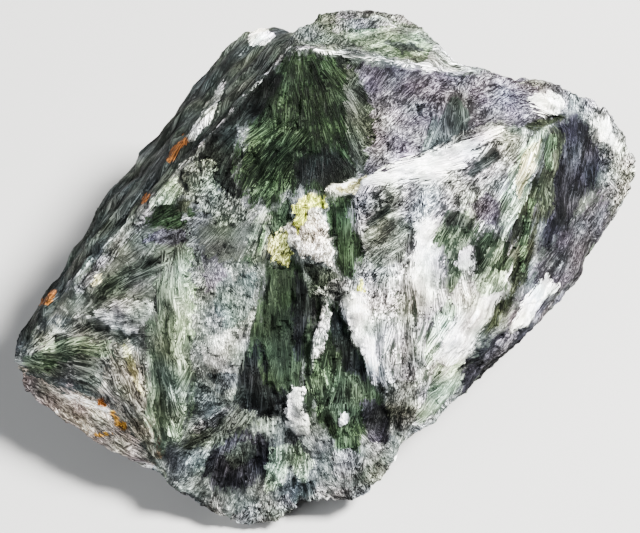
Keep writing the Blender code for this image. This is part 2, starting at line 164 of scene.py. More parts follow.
# Each patch of the broad face, the lowest first, is (tone, crumbs from 0 to 1, rise in
# millimetres, focus, outline). Its fibres run out of its focus.
FACE_PATCHES = {
    "ground": ("frost", 0.8, 0.0, (29, 23), [(-5, -5), (70, -5), (70, 60), (-5, 60)]),
    # left middle
    "left strands": ("smoke", 0.35, 0.0, (-20, 52), [
        (13, 22.5), (18, 20.5), (20, 24), (18.5, 40), (15, 45), (12, 38), (6, 31.5), (4, 32), (9, 26)]),
    "pale edge of the ridge": ("ash", 0.5, 0.1, (-20, 62), [
        (7.2, 29), (11, 24.5), (14, 21.5), (15.2, 20), (15.8, 20.8), (13.5, 23.5), (10.5, 26.8),
        (8, 29.4)]),
    "green lens": ("deep green", 0.1, 0.0, (6, 27), [
        (14.2, 22.2), (15.5, 20.6), (18, 20.2), (20, 21.2), (19.2, 22.4), (16.5, 22.8)]),
    "plum patch": ("violet", 0.6, 0.0, (6, 29), [
        (14, 24.2), (16, 23), (19.5, 22.8), (19.8, 24), (17, 24.6)]),
    "dark strands": ("dull green", 0.1, 0.0, (-10, 42), [
        (10, 28.5), (13, 26.5), (17.5, 24.8), (18.2, 26), (14, 28.5), (9.5, 30.5)]),
    "glint by the ridge": ("cream", 0.3, 0.1, (4, 33), [
        (9, 28.6), (9.8, 27.6), (10.2, 27.4), (9.9, 28.1), (9.3, 28.8)]),
    "dusty band": ("dust", 0.6, 0.1, (0, 34), [
        (9, 31.5), (13, 30), (15.5, 30.3), (15.2, 32), (13, 33.5), (10, 32.4), (7.5, 32)]),
    # lower left corner
    "corner fan": ("pewter", 0.25, 0.0, (1, 36.3), [
        (1, 36), (4, 33.2), (8, 31.8), (12, 33.5), (14.2, 36.5), (15.2, 41), (16, 45.5), (13, 42),
        (10, 39.2), (5, 37.8)]),
    "corner green": ("sage", 0.1, 0.0, (0, 36.3), [
        (2.5, 36), (6, 33.8), (11, 34.2), (11.5, 35.6), (6, 36.6), (3, 37)]),
    "corner slot": ("pewter", 0.2, -0.1, (0, 36), [
        (5.8, 36.3), (8, 35.7), (10.8, 35.9), (10.4, 37.2), (8, 37.5), (5.8, 37)]),
    "folded fan": ("tan", 0.3, 0.1, (16.2, 47), [
        (10.2, 38.8), (11.8, 34.2), (12.8, 34.2), (14.4, 38), (15.6, 43), (16, 46), (14.6, 44.6)]),
    "cream rib of the folded fan": ("cream", 0.5, 0.15, (16.2, 47), [
        (12, 34.4), (12.6, 34.2), (13.9, 37.2), (14.2, 39.6), (13.4, 38)]),
    "lower left facet": ("rose", 0.4, 0.0, (-2, 36), [
        (1, 36.8), (6, 38.6), (9.8, 40), (13, 43.5), (16, 46.4), (15, 49), (8, 47), (1, 41)]),
    "dark seam of the facet": ("dull rose", 0.5, -0.1, (-2, 36), [
        (3.8, 38.6), (6, 39.4), (8.4, 41.8), (7.6, 42), (5, 40.4)]),
    "rust spot": ("rust", 0.5, 0.0, (8, 36), [(9.6, 39.9), (10.3, 39.9), (10.4, 40.6), (9.8, 40.7)]),
    "ochre streak": ("ochre", 0.4, 0.0, (8, 36), [
        (10.8, 41.1), (11.2, 41.1), (12.8, 42.9), (12.5, 43.2), (11.2, 42.1)]),
    "ochre rim": ("ochre", 0.6, 0.0, (4, 38), [(9.4, 43.5), (11, 43.1), (10.8, 43.5), (9.6, 43.8)]),
    "rust at the lower corner": ("rust", 0.4, 0.0, (16, 40), [
        (15.8, 43.6), (16.4, 43.8), (16.4, 45.7), (15.9, 45.6)]),
    # upright fan
    "upright fan": ("smoke green", 0.05, 0.1, (16.6, 54), [
        (16.5, 27), (18, 25), (19.4, 27), (19.4, 36), (19.2, 41), (17.8, 44), (16, 45.5), (15, 42),
        (14.8, 36), (15.6, 31)]),
    "dark core of the fan": ("smoke green", 0.0, 0.0, (16.6, 54), [
        (15.6, 33.5), (16.8, 31), (17.3, 34), (17.4, 39), (16.4, 43.6), (15.2, 41), (15, 37)]),
    "mint blade": ("pale sage", 0.1, 0.15, (17, 54), [
        (17.4, 28.5), (18.2, 25.5), (18.6, 31), (18.2, 37), (17.4, 35)]),
    "lower mint blade": ("mint", 0.1, 0.1, (16.5, 50), [
        (17.3, 38.5), (18.6, 39), (18.8, 40.8), (17.6, 44), (16.8, 43)]),
    "pale strip": ("pale sage", 0.5, 0.15, (18.5, 60), [
        (18.4, 24.5), (19.4, 24.5), (20, 30), (19.6, 34), (18.8, 33.5), (18.6, 29)]),
    # crumbling field
    "crumbling field": ("frost", 1.0, 0.0, (24, 10), [
        (18.5, 22), (22.5, 21.8), (26, 24), (26.4, 27), (25.6, 32), (24.6, 36), (24, 40.5), (19.8, 40.5),
        (19.2, 33), (19.4, 27)]),
    "plum crumbs": ("frost violet", 0.9, 0.0, (24, 10), [(20, 25.2), (22.2, 25), (22.6, 28.6), (20.6, 29)]),
    "teal crumbs": ("frost teal", 0.9, 0.0, (24, 10), [
        (22, 28), (25.4, 27), (25.2, 31), (22.6, 33), (21.4, 31)]),
    "silver crumbs": ("pale frost", 0.8, 0.1, (24, 10), [
        (20.5, 33.5), (24.5, 33), (24.4, 37), (21.5, 37.8), (20, 36)]),
    "slate crumbs": ("dull teal", 0.7, 0.0, (24, 20), [(20.6, 37.6), (23.6, 37.2), (24.2, 39), (22, 39.4)]),
    "slanting strands": ("smoke", 0.3, 0.1, (31, 14), [
        (19.5, 23.5), (22, 21.2), (25, 20.8), (26.2, 22.5), (24.6, 25.5), (21, 26)]),
    "pale plume": ("sage", 0.2, 0.1, (28, 17), [
        (24.2, 26), (25.6, 22), (26.6, 21.6), (26.4, 24), (25.2, 26.4)]),
    # green slab
    "green slab": ("satin green", 0.0, -0.1, (28.5, 0), [
        (26.4, 26.2), (29.8, 26.2), (30.5, 28), (31.8, 30.4), (31.3, 34), (31, 37), (29.5, 39.6),
        (27.4, 40.4), (25, 40), (24.3, 36.5), (25.2, 33), (26, 29.5)]),
    "lighter middle of the slab": ("satin green", 0.0, 0.05, (28.2, 0), [
        (26.9, 27), (29, 26.6), (29.3, 32), (28.9, 37.5), (27.2, 38.5), (26.6, 34), (26.8, 30)]),
    "dark edge of the slab": ("ink", 0.0, -0.1, (30, 10), [
        (29.6, 27.2), (30.8, 28.6), (31.8, 30.6), (30.6, 33), (29.6, 36), (29.3, 31)]),
    "dark foot of the slab": ("ink", 0.1, -0.1, (25, 20), [
        (24.4, 35.5), (26.2, 34), (26.5, 38), (28.4, 39.6), (28.6, 42), (26, 42.6), (24.2, 42.5),
        (23.6, 40)]),
    # wedge under the boss
    "dark wedge": ("forest", 0.1, -0.1, (33, 8), [
        (31.5, 30.5), (33.5, 30), (34.5, 31.5), (35.5, 34), (36.8, 37), (38.5, 39), (38.8, 42), (36, 44),
        (33, 43.5), (31, 41.5), (30.2, 38.5), (31, 36)]),
    "ink of the wedge": ("ink", 0.0, -0.1, (34, 20), [
        (33.4, 31), (34.4, 32), (35.8, 35.6), (36.6, 38), (34.6, 37), (33.4, 34)]),
    "pale tips": ("fern", 0.1, 0.1, (32.4, 52), [
        (30.9, 38), (31.6, 35.6), (32.2, 37.6), (33, 36.2), (33.4, 38.5), (33.2, 40.4), (32.4, 39.6),
        (31.8, 41.4)]),
    "violet corner": ("ink violet", 0.4, 0.0, (37, 30), [
        (36.2, 40.4), (38.6, 40.2), (39.6, 42.5), (38.6, 45.4), (36.8, 44)]),
    "white sliver": ("silk", 0.6, 0.35, (32.4, 20), [
        (32.6, 30.2), (33, 31.2), (32.6, 34.2), (32.1, 35.8), (31.3, 35.9), (31.2, 34.5), (31.9, 32)]),
    "white chips": ("white", 0.9, 0.3, (30, 30), [
        (29.4, 38.8), (30.4, 38.5), (30.3, 40.3), (31, 42.8), (29.6, 43.5), (28.5, 42.2), (28.7, 40.2)]),
    "small white chip": ("white", 0.6, 0.2, (34, 36), [
        (34, 41.4), (34.6, 41.2), (34.4, 42.6), (33.8, 42.8)]),
    # white slab
    "white slab": ("silk", 0.25, 0.15, (42, -8), [
        (34.2, 29.6), (36, 28), (39, 27.2), (42, 25), (46, 25.5), (50, 27.5), (49.6, 31), (47.6, 34),
        (45.5, 38), (43.5, 42), (41, 44.4), (39.5, 43), (38.5, 39), (36.6, 36.6), (35.4, 33.4)]),
    # Painted light: the slab's edge, which faces the light, is painted white.
    "lit edge of the slab": ("white", 0.2, 0.1, (34, 10), [
        (34.3, 29.8), (35.6, 29), (36.8, 31.6), (37.6, 35), (38.2, 38), (36.6, 36.6), (35.4, 33.4)]),
    "lavender crumbs of the slab": ("silk", 0.9, 0.0, (42, 10), [
        (36.6, 29.2), (39.6, 29), (40.2, 30.8), (38, 31.6), (36.6, 30.6)]),
    "dull strand of the slab": ("silver", 0.3, 0.0, (42, 0), [
        (40.4, 30.5), (41.4, 30), (41.6, 34), (41.4, 38), (40.8, 42), (40, 38), (40.2, 34)]),
    "mint wedge": ("mint", 0.1, 0.1, (50, 18), [
        (42.6, 35.5), (43.4, 31.5), (45, 30.2), (45.4, 31.6), (44.4, 34), (43.2, 36.4)]),
    "dull foot of the slab": ("pewter", 0.6, 0.0, (42, 20), [
        (38.3, 38.6), (41.8, 37.6), (42, 41), (40.4, 44.6), (39, 43)]),
    "white swath": ("white", 0.1, 0.1, (57, 14), [
        (44, 35), (46, 31.4), (49, 28.4), (50.4, 29), (48.8, 32), (46.2, 35.2), (44.4, 36.4)]),
    "green sliver": ("mint", 0.1, 0.0, (50, 26), [(43.8, 36.4), (44.4, 36.8), (42.8, 40.4), (42, 41.4)]),
    "cream feather": ("pale sage", 0.05, 0.15, (52, 27), [
        (46.4, 36), (45.8, 38.4), (43.6, 41), (42.2, 42.4), (41.9, 41.6), (43.4, 38.4), (44.8, 36.4)]),
    # crumbling ground right of the boss
    "crumbling ground": ("ash", 0.9, 0.05, (50, 8), [
        (34.8, 19.6), (38, 18.6), (42, 19.5), (42.5, 22), (41.5, 26), (39, 27.4), (36, 28.2), (35.4, 26.5),
        (35.8, 24), (35, 21.5)]),
    "dull strokes": ("pewter", 0.45, 0.0, (54, 12), [
        (36.4, 23), (38.4, 20.8), (40.4, 21.8), (41, 24), (40, 26), (37.4, 26.4), (36.2, 25)]),
    "dark dab": ("slate", 0.3, 0.0, (54, 12), [(36.6, 22.4), (38.6, 20.4), (39, 21), (37.4, 23)]),
    "green groove": ("deep green", 0.1, -0.15, (33.5, 5), [
        (32.9, 19.6), (34.9, 19.4), (35.4, 22), (36.3, 24.5), (35.8, 27.2), (34.2, 28), (33.4, 25),
        (32.8, 22)]),
    "white column": ("white", 0.3, 0.1, (44, 0), [
        (41.6, 22.5), (43.5, 21.5), (44, 24.5), (43.8, 28), (43, 31.5), (41.6, 30), (41.2, 26)]),
    "lime spot": ("lime", 0.6, 0.0, (36, 20), [(35.4, 28.5), (36.1, 28), (36.3, 29), (35.5, 29.2)]),
    # boss in the middle
    "dark underside of the boss": ("dull green", 0.6, 0.0, (32, 20), [
        (30.2, 26.4), (33, 26.4), (34.2, 28), (33, 29.8), (31.6, 29.6)]),
    "rim of the boss": ("ash", 0.9, 0.2, (32, 20), [
        (33.4, 28), (34.8, 27.8), (35.6, 28.2), (34.4, 29.6), (33, 29.9), (31.6, 29.4), (32, 28.8)]),
    "green plume of the boss": ("forest", 0.2, 0.0, (31, 13), [
        (26.6, 21.2), (29.2, 19.8), (29.6, 22.5), (28.4, 23.8), (26.8, 24)]),
    "boss": ("milk", 0.9, 0.3, (31, 15), [
        (29.6, 20.2), (31.2, 19.8), (32.2, 21.5), (33, 24), (33.5, 26.8), (31.8, 26.4), (30.2, 25),
        (29, 24.8), (28.2, 23.8), (29.4, 22.6)]),
    "umber of the boss": ("tan", 0.9, -0.1, (31, 15), [
        (30.2, 23.2), (31.2, 23.4), (31.4, 24.4), (30.4, 24.4)]),
    "upper lime stain": ("lime", 0.7, 0.05, (31, 13), [
        (29.4, 20.4), (30.5, 19.6), (32.4, 19.5), (32.8, 21), (31.5, 20.6), (30.5, 21.2), (30.1, 23.6),
        (29.2, 22.4)]),
    "lower lime stain": ("lemon", 0.8, 0.05, (30, 15), [
        (27.2, 23.6), (28.4, 23.2), (28.6, 24.7), (29.4, 25.4), (28.8, 26.5), (27.3, 26.1), (26.8, 24.7)]),
    "olive strokes left of the boss": ("ash green", 0.1, 0.05, (32, 12), [
        (24.4, 25.8), (25.4, 22.6), (26.4, 21.2), (27.2, 21.6), (26.8, 24), (26, 26.2)]),
    "lime stroke left of the boss": ("fern", 0.2, 0.05, (32, 12), [
        (25.6, 24.6), (26.3, 22.8), (26.8, 22.4), (26.5, 24.2), (26, 25.4)]),
    # plain ground by the ridge
    "plain ground": ("night", 0.3, 0.0, (31, 2), [
        (28, 5.2), (26.2, 9), (24, 12), (23.4, 16), (24.2, 20), (21.5, 19.2), (19, 16), (21, 13.2),
        (24, 9.2)]),
    "dusty ground": ("ash green", 1.0, 0.1, (28, 10), [
        (17.6, 17), (19.6, 15.6), (21, 16.6), (22.5, 19.2), (25.5, 20.8), (24, 22.4), (20.6, 21.8),
        (18.8, 19.8), (17.8, 18.6)]),
    "umber crack": ("ink", 0.2, -0.1, (17, 10), [(17.6, 16.6), (18.2, 17), (18.9, 18.8), (18.5, 19)]),
    "mint patch": ("mint", 0.4, 0.1, (20, 15), [
        (15.2, 20), (16.6, 18.2), (17.6, 17.4), (17.9, 18.6), (18.2, 19.3), (16.6, 20.2), (15, 20.9)]),
    "olive glints": ("olive", 0.4, 0.0, (20, 15), [(17.4, 21), (18.2, 19.8), (19.2, 20), (18.6, 21.4)]),
    # green feathers under the top ridge
    "green feathers": ("deep green", 0.05, 0.0, (29.5, -4), [
        (29, 5), (34.8, 5.6), (36.6, 9), (36, 13), (35.6, 17.5), (33.6, 19.2), (30, 18.8), (27.5, 20.6),
        (25, 20.4), (23.8, 17), (24.2, 13.5), (24.8, 10), (27, 6.8)]),
    "plain dark of the feathers": ("night", 0.1, 0.0, (31, 2), [
        (27, 7), (28.2, 8), (26.4, 11), (24.2, 13), (23.2, 11.8), (25, 9)]),
    "light green feathers": ("leaf", 0.1, 0.05, (37, 4), [
        (24.8, 13.4), (27.5, 12.4), (30.5, 13.6), (30.2, 16), (28.6, 19.2), (25.4, 19.4), (24.4, 17)]),
    "hanging green feathers": ("deep green", 0.0, 0.05, (28, -4), [
        (28.8, 7.6), (30.2, 6.4), (31.2, 9.4), (31.2, 12), (30.2, 13), (29, 11)]),
    "grey strands of the feathers": ("deep green", 0.05, 0.05, (29, 1), [
        (31, 5.4), (33, 6.4), (36.8, 9.5), (36.6, 12.5), (34.6, 11.4), (32.6, 8.5)]),
    "ink of the feathers": ("night", 0.1, -0.05, (31, 8), [
        (29.6, 16.4), (33, 14.6), (35.4, 17.2), (33.6, 19), (31.5, 18.2), (29.8, 18.8)]),
    "olive under the ridge": ("night", 0.2, 0.0, (33, 0), [
        (33.2, 5.2), (34.7, 5.4), (34.8, 7.2), (33.6, 6.8)]),
    # lavender field
    "grey fans by the feathers": ("dull green", 0.2, 0.05, (30, 3), [
        (35, 6), (37.6, 8.6), (38.4, 12), (38, 15.6), (36.2, 18), (35, 14), (34.6, 10)]),
    "lavender field": ("lavender", 0.7, 0.0, (18, 34), [
        (36.2, 7.2), (40, 6.6), (46, 7.4), (51, 7.2), (57, 9), (56, 12.6), (51.5, 12.6), (48, 14.2),
        (42, 16.6), (37, 18.2), (36.2, 18.2), (37.4, 14), (37.2, 10.5)]),
    "violet shade": ("violet", 0.4, 0.0, (18, 34), [
        (35.2, 6.4), (39, 6.6), (43, 7.6), (41.5, 9.4), (37, 9)]),
    "violet field": ("lavender", 0.9, 0.0, (18, 34), [
        (43, 8), (47, 7.8), (52, 8.2), (52, 10.2), (46, 10.4), (43.5, 10)]),
    "dark bits of the field": ("ink violet", 0.8, 0.0, (18, 34), [
        (41.6, 10.6), (42.6, 10.4), (42.4, 11.8), (41.8, 11.6)]),
    "teal fan": ("dull teal", 0.1, 0.1, (46.5, 3), [
        (42, 15.8), (42.8, 13), (44.6, 11), (45.6, 9.6), (46.8, 11), (47, 13.6), (45, 15.2), (43, 16.2)]),
    # Painted glow: a paler halo is painted on the stone around the lit band.
    "glow around the lit band": ("ash", 0.5, 0.05, (20, 30), [
        (39.5, 16.6), (43, 15), (48, 12.6), (50.5, 12), (50.4, 13.4), (46, 14.8), (42, 16.4),
        (39.8, 17.2)]),
    # right middle
    "right ground": ("silver", 0.5, 0.0, (60, 4), [
        (44, 18.4), (50, 14), (53.4, 13.4), (54, 19), (52, 24), (51, 29), (46, 27), (43.6, 23), (42, 20)]),
    "ragged white": ("silver", 0.6, 0.1, (60, 4), [
        (37.6, 19.2), (40, 18.2), (44, 17.4), (47.5, 15.2), (50.4, 13.4), (50, 16), (47.5, 18.4),
        (46, 20.4), (42, 20.2), (39.5, 19.8)]),
    "dark gap": ("slate", 0.3, -0.1, (60, 8), [
        (46.6, 17.4), (48.6, 15.6), (50, 14.8), (49.6, 16), (47.4, 17.9)]),
    # Painted light: the narrow band along a small step faces the light and is painted white, cream at its
    # end; the step itself is its rise.
    "lit band of the step": ("white", 0.05, 0.25, (10, 26), [
        (32.8, 18.8), (35.6, 18.2), (39, 16.8), (42, 15.6), (46, 14.4), (49.8, 12.9), (50.2, 13.5),
        (48, 14.8), (46.4, 16.4), (43.5, 18), (40, 18.3), (37, 18.7), (34, 19.4)]),
    "yellow end of the lit band": ("cream", 0.6, 0.1, (10, 26), [
        (32.8, 18.8), (35.6, 18.2), (36.8, 17.4), (36, 18.9), (34, 19.3)]),
    "blue crumbs": ("lavender", 0.6, 0.0, (58, 8), [
        (46.8, 20.4), (48.6, 19), (50, 20.4), (49.8, 22.6), (48.2, 22.2)]),
    "left green fan": ("sage", 0.0, 0.05, (49, 15), [
        (43.4, 23.8), (45, 21.2), (47, 21.4), (47.8, 23), (46.6, 25.4), (45.4, 28.8), (44.8, 29.4),
        (44.6, 26)]),
    "ink over the left fan": ("dull green", 0.1, 0.0, (49, 15), [
        (44.4, 22.4), (45.4, 21.2), (47.4, 21.8), (47, 23), (45.6, 22.8)]),
    "deep green fan": ("forest", 0.0, 0.0, (54, 14), [
        (47.4, 24), (49.8, 22.6), (51.4, 23.4), (51.6, 26.4), (50.4, 28), (48.6, 27.6), (46.8, 28)]),
    "bright blades of the deep fan": ("sage", 0.0, 0.1, (54, 14), [
        (48, 26.4), (49.8, 24), (50.4, 24.4), (49.2, 27), (48, 28)]),
    "chip in the fans": ("white", 0.4, 0.2, (48, 15), [
        (46.1, 25.2), (47.2, 24.6), (47.2, 26.4), (46.4, 27), (45.8, 26.6)]),
    "mint skirt": ("mint", 0.3, 0.1, (54, 14), [
        (46.8, 27.8), (48.6, 26.9), (50.4, 27.6), (50.8, 29), (48.8, 29.6)]),
    "olive band": ("olive", 0.0, -0.15, (58, 6), [
        (53.8, 17), (54.4, 20), (53.2, 25), (52.6, 28), (50.6, 31.4), (48.6, 34.4), (47.8, 35.2),
        (48.8, 32.4), (50.8, 29.4), (51.4, 26), (51.2, 22.8), (52.4, 19.4)]),
    "green of the band": ("leaf", 0.0, 0.0, (58, 6), [
        (53, 19.6), (53.6, 20), (52.8, 23.6), (52.4, 27), (52, 24)]),
    "cream fan": ("mint", 0.1, 0.15, (58.5, 5), [
        (54.8, 12.6), (53.8, 16.4), (52.4, 19.4), (51.2, 22.6), (50.2, 23.8), (50, 20), (51.2, 16.6),
        (53, 13.6)]),
    "cream ribs of the fan": ("cream", 0.0, 0.05, (58.5, 5), [
        (54.2, 13.6), (53.2, 16.6), (51.8, 19.8), (51.6, 18), (53, 14.8)]),
    # right shoulder
    "violet facet": ("ink violet", 0.25, 0.0, (61, -8), [
        (55.4, 12.6), (58, 11.6), (60, 14), (60.6, 17), (58.6, 20), (56.5, 23.5), (54.2, 26), (53.8, 21),
        (55, 17)]),
    "olive strand": ("olive", 0.0, 0.05, (58, 0), [
        (54.2, 14), (55.4, 12.6), (56.2, 13.6), (55.6, 18), (54.6, 22.4), (53.8, 19)]),
    "sage ribs of the strand": ("fern", 0.0, 0.05, (58, 0), [
        (54.6, 14), (55.4, 13.4), (55.2, 17), (54.6, 17)]),
    "olive pit": ("olive", 0.2, -0.15, (50, 15), [
        (52.6, 12.8), (53.4, 12), (56, 11.2), (56.8, 11.6), (54.6, 12.6), (53.2, 13.2)]),
    "white knob": ("white", 0.2, 0.35, (50, 10), [
        (53, 10.2), (54, 9.2), (55.6, 9.3), (56.6, 10.4), (56, 11.2), (54.4, 11.4), (53.4, 11)]),
    "sugary rim": ("ash", 0.95, 0.1, (66, -4), [
        (51, 6), (56, 8.2), (59, 9), (63, 11), (66, 16), (66, 19), (62, 22.4), (59.4, 26.4), (57.6, 25),
        (59.6, 20.6), (61, 18), (60.6, 14.8), (58.4, 11.6), (56, 10), (53.4, 8.6)]),
    "bright flake of the rim": ("white", 0.4, 0.15, (64, 4), [
        (59, 12.2), (60.6, 11.8), (62, 14.6), (61.8, 15.4), (60.2, 14)]),
    "lavender skirt": ("dull lavender", 0.4, 0.0, (68, 8), [
        (54, 26), (57, 22.8), (60, 19.2), (61, 21.4), (59.6, 26), (57, 30), (53, 33.4), (50.4, 35),
        (50.8, 31.8), (52.8, 28.8)]),
    "white swath of the skirt": ("white", 0.2, 0.1, (64, 16), [
        (50.6, 33.4), (52.6, 30), (54.8, 27.4), (55.8, 28.4), (53.4, 31.8), (51.4, 33.6)]),
    "violet skirt": ("ink violet", 0.4, 0.0, (62, 20), [
        (46, 37), (48.4, 34.2), (50.6, 32.6), (53.4, 32.6), (52, 36), (48.4, 39), (46.2, 39.4)]),
    "silver flecks of the skirt": ("dull lavender", 0.6, 0.1, (62, 20), [
        (48.2, 35.6), (50.6, 33.4), (51.8, 33.2), (50, 35.4), (48.4, 36.6)]),
    # lobes at the bottom
    "lobes": ("frost", 0.55, 0.0, (27, 34), [
        (14.5, 47), (18.5, 44), (20.5, 41), (24, 41), (27, 42), (30, 43.5), (32.5, 44), (38.5, 44),
        (40.6, 45), (38, 49), (33, 52), (30, 51), (26, 55), (20, 53), (16, 50)]),
    "strands above the lobes": ("ash green", 0.3, 0.0, (29, 35), [
        (18.2, 44.8), (20.6, 41.6), (24, 40.6), (26, 42), (24, 44), (20, 45)]),
    "silver ribs above the lobes": ("ash", 0.5, 0.1, (29, 35), [
        (19, 43.4), (21.4, 41), (23, 40.6), (21.4, 42.6)]),
    "dark hollow": ("ink violet", 0.2, -0.1, (25, 36), [
        (20, 46.4), (21.4, 44.8), (24, 43.2), (26, 43.4), (27.4, 45.4), (26, 48), (23.6, 49.2),
        (21.6, 48.8), (20.4, 47.6)]),
    "blue ribs of the hollow": ("slate", 0.5, 0.05, (25, 36), [
        (22.4, 45.4), (24.8, 44), (25.6, 45.4), (23.4, 47)]),
    "sage flank": ("mint", 0.4, 0.1, (30, 36), [
        (27, 45), (28.6, 44.2), (29.4, 46), (28, 48.6), (26.2, 50), (26.6, 47)]),
    "rim of the lobes": ("ash", 0.7, 0.1, (27, 34), [
        (16.6, 48.4), (20, 50.6), (24, 51.2), (27.4, 50), (29.6, 48.6), (33, 49.4), (36, 48.2), (38.4, 46),
        (40, 46.4), (38, 49.4), (33, 52), (30, 51), (26, 55), (20, 53), (15.6, 50)]),
    "pale cleft of the lobes": ("mint", 0.3, 0.1, (29, 34), [
        (28.8, 44.6), (30, 44.2), (31.2, 46.4), (30.6, 48.4), (29.6, 47.4)]),
    "dark cleft of the lobes": ("teal", 0.3, -0.25, (29, 34), [
        (28.9, 49.6), (29.2, 47.6), (30, 48.4), (31.6, 48.2), (31.2, 49.2), (29.8, 50.4)]),
    "olive cheek": ("leaf", 0.2, 0.0, (33, 34), [
        (32.6, 42.8), (34.8, 41.8), (36.4, 43.4), (35.6, 45.4), (33.6, 45.2)]),
    "grey cheek": ("ash", 0.5, 0.0, (34, 34), [
        (33, 45.6), (35.2, 45), (36.6, 46.4), (35, 48.4), (33.4, 47.4)]),
    # hump behind the top ridge
    "hump": ("ash green", 0.85, 0.0, (20, 30), [
        (28.6, 5), (31, 4.6), (35, 5.2), (40, 6.2), (46.8, 7.6), (48, 5), (44, -3), (28, -3), (27, 3)]),
    "grey end of the hump": ("ash green", 0.9, 0.0, (20, 30), [
        (28.6, 4.6), (30, 2.4), (33.4, 1.4), (34, 3.2), (31, 4.2)]),
    "green of the hump": ("sage", 0.6, 0.0, (20, 18), [
        (35, 3.8), (38, 2.6), (41, 3.4), (43.4, 4.6), (43, 6), (39, 5.6), (36, 5)]),
    "dark green of the hump": ("slate", 0.6, 0.0, (20, 18), [(38.6, 4.2), (41, 4), (42.4, 5), (40, 5.4)]),
    "white tip of the hump": ("silk", 0.4, 0.15, (30, 2), [
        (43.2, 5), (44, 4.6), (47, 7.2), (44.6, 7.2), (42.6, 6.4)]),
    # Painted light: the top of the hump, which faces up, is painted paler.
    "lit top of the hump": ("ash", 0.8, 0.0, (20, 30), [
        (33, 1.6), (36, 0.4), (41.5, 0.4), (43, 2.4), (40, 2.4), (36, 2.9), (33.6, 3.2)]),
    "thin bright ridge": ("silver", 0.2, 0.1, (-40, -2), [
        (29.6, 4.7), (32, 4.85), (35, 5.4), (40, 6.2), (46.4, 7.3), (46.2, 7.5), (39.8, 6.4), (34.8, 5.6),
        (31.8, 5.05)]),
}
# The layered side is seen at a slant, so its patches are few. They lie in the same layout.
SIDE_PATCHES = {
    "pale split": ("silver", 0.2, 0.1, (-10, 40), [
        (18.6, 14), (21.2, 9.8), (22.4, 8), (22.2, 9.4), (20.6, 12.4), (19.2, 14.2)]),
    "upper rust": ("rust", 0.3, 0.0, (-10, 40), [
        (16.7, 15.8), (17.6, 14.4), (18.5, 13.6), (18.6, 14.3), (17.7, 15.5), (17, 16)]),
    "middle rust": ("rust", 0.4, 0.0, (-10, 40), [(13.6, 20.8), (14.4, 19.6), (15.1, 19.4), (14.6, 20.6)]),
    "bright ridge": ("silver", 0.5, 0.05, (-10, 40), [
        (29.5, 4.1), (27.3, 6.7), (21.7, 12.7), (18, 16.6), (17.7, 17.1), (21.4, 13.4), (27.2, 7.4),
        (29.5, 4.9)]),
    "lower rust": ("rust", 0.5, 0.0, (-10, 40), [(3.9, 30.4), (4.8, 29.2), (5.5, 29), (5, 30.4)]),
    "rust by the point": ("rust", 0.5, 0.0, (-10, 40), [(4.3, 33.4), (5, 32.2), (5.7, 32.2), (5.2, 33.6)]),
    "white spur": ("white", 0.3, 0.0, (-10, 40), [
        (24.8, 4.4), (25.2, 2.2), (26, 1.8), (27.4, 3.6), (26.2, 4.2), (25.4, 4.6)]),
}

# The layers themselves, and which way they run and face on the lump.
# Painted shade: the layers are painted darker, as on the side that faces away from the light.
LAYERS = ("shaded layer", 0.05, 0.0, (0, 0), [(0, 0)])
LAYER_RUN = np.array([0.667, 0.745, 0.0])
LAYER_SIDE = np.array([-0.72, 0.62, 0.30])
LAYER_SIDE /= np.linalg.norm(LAYER_SIDE)

# The layered side in the layout, with its ridge against the broad face.
SIDE_OUTLINE = [
    (29.4, 4.4), (21.6, 13), (18, 16.9), (14, 20.6), (8.5, 26.6), (5, 30.3), (2.8, 33.8), (-6, 38),
    (-6, -6), (26, -6)]

# How squarely a point must face the broad face's front, or the layers', to belong there, and
# over how much of a turn the two blend. The ridge blends over a width in millimetres.
FACE_FROM, FACE_BLEND, FACE_WANDER = 0.05, 0.12, 0.2
SIDE_FROM, SIDE_LEAD, SIDE_BLEND, SIDE_WANDER = 0.3, 0.05, 0.2, 0.3
SIGHT_FROM, SIGHT_BLEND = -0.02, 0.1
RIDGE_BLEND, RIDGE_WANDER = 0.5, 0.5

# Behind, below and at the sides the stone has sprays of the same kinds, as they grew.
SPRAY_TONES = (
    "ash", "ash", "silver", "silver", "ash green", "sage", "forest", "leaf", "slate", "lavender",
    "lavender", "violet", "teal", "mint", "ink violet", "white",
)
SPRAY_CRUMBS = (0.05, 0.2, 0.5, 0.9)
SPRAY_COUNT = 260
SPRAY_SEED = 11
SPRAY_LENGTH, SPRAY_WIDTH = 5.0, 2.0  # millimetres, half of the whole
SPRAY_SHAKE, SHAKE_SIZE = 0.5, 1.2
SPRAY_EDGE = 2.0
NO_SPRAYS_WAY = (0.31, 0.52, 0.80)

# Edges of patches wander over these sizes by this much, and end in fibre tips or crumbs. All
# are millimetres, and the shares are of a patch's own width.
WANDERS = ((1.6, 0.35), (0.6, 0.15))
RAGGEDNESS = 0.35
FRINGE = 2.5
FINGER_SIZE = (0.42, 3.0)
LONGEST_FINGER, FINGER_SHARE = 1.1, 0.4
WIDEST_CRUMBLE = 1.3
SHORTEST_BLEND, WIDEST_BLEND, BLEND_SHARE = 0.3, 0.9, 0.2
LEAST_COVER = 0.02

# Fibres sway by this much over these sizes, in millimetres. Layers sway less and run on longer.
SWAYS = ((0.24, 3.0), (0.05, 1.0))
LAYER_SWAY, LAYER_STRETCH = 0.06, 0.10

# Each patch, spray, flake and blade reads its own part of the noise, this far on.
PATCH_STEP, SPRAY_STEP, FLAKE_STEP = 3.7, 5.3, 7.3
BLADE_STEP = np.array([7.13, 3.37, 1.71])


def noise_at(places, size, seed):
    """Smooth noise from about -1 to 1, with features of this size."""
    shift = Vector((seed, 2.3 * seed, 5.1 * seed))
    return np.array([noise.noise(Vector(p) / size + shift) for p in places])


